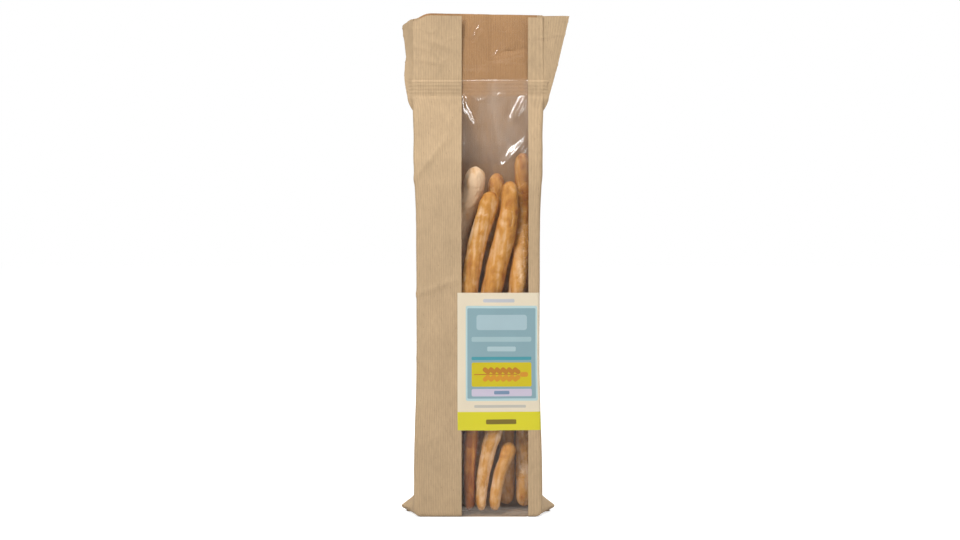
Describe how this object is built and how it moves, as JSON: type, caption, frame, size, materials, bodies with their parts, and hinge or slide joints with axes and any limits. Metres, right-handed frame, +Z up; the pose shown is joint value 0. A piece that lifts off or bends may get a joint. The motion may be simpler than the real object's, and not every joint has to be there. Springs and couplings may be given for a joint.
{
  "type": "bag of grissini breadsticks",
  "caption": "Upright windowed kraft paper bag, heat sealed at the top, filled with hand-rolled breadsticks that show through a clear film strip, with a stuck-on label.",
  "frame": {"origin": "centre of the flat base, on the surface the bag stands on", "axes": "+Z up along the bag, -Y the front with the film window and the label, +X to the viewer's right"},
  "size_m": [0.132, 0.0438, 0.3927],
  "materials": {
    "kraft_paper": "matt ribbed brown kraft paper",
    "clear_film": "clear glossy film",
    "label_paper": "satin printed label",
    "baked_crust": "dry matt baked crust"
  },
  "bodies": {
    "root": {"paper_bag": "kraft_paper", "window_film": "clear_film", "label": "label_paper", "grissino_1": "baked_crust", "grissino_2": "baked_crust", "grissino_3": "baked_crust", "grissino_4": "baked_crust", "grissino_5": "baked_crust", "grissino_6": "baked_crust", "grissino_7": "baked_crust", "grissino_8": "baked_crust", "grissino_9": "baked_crust", "grissino_10": "baked_crust"}
  },
  "joints": []
}
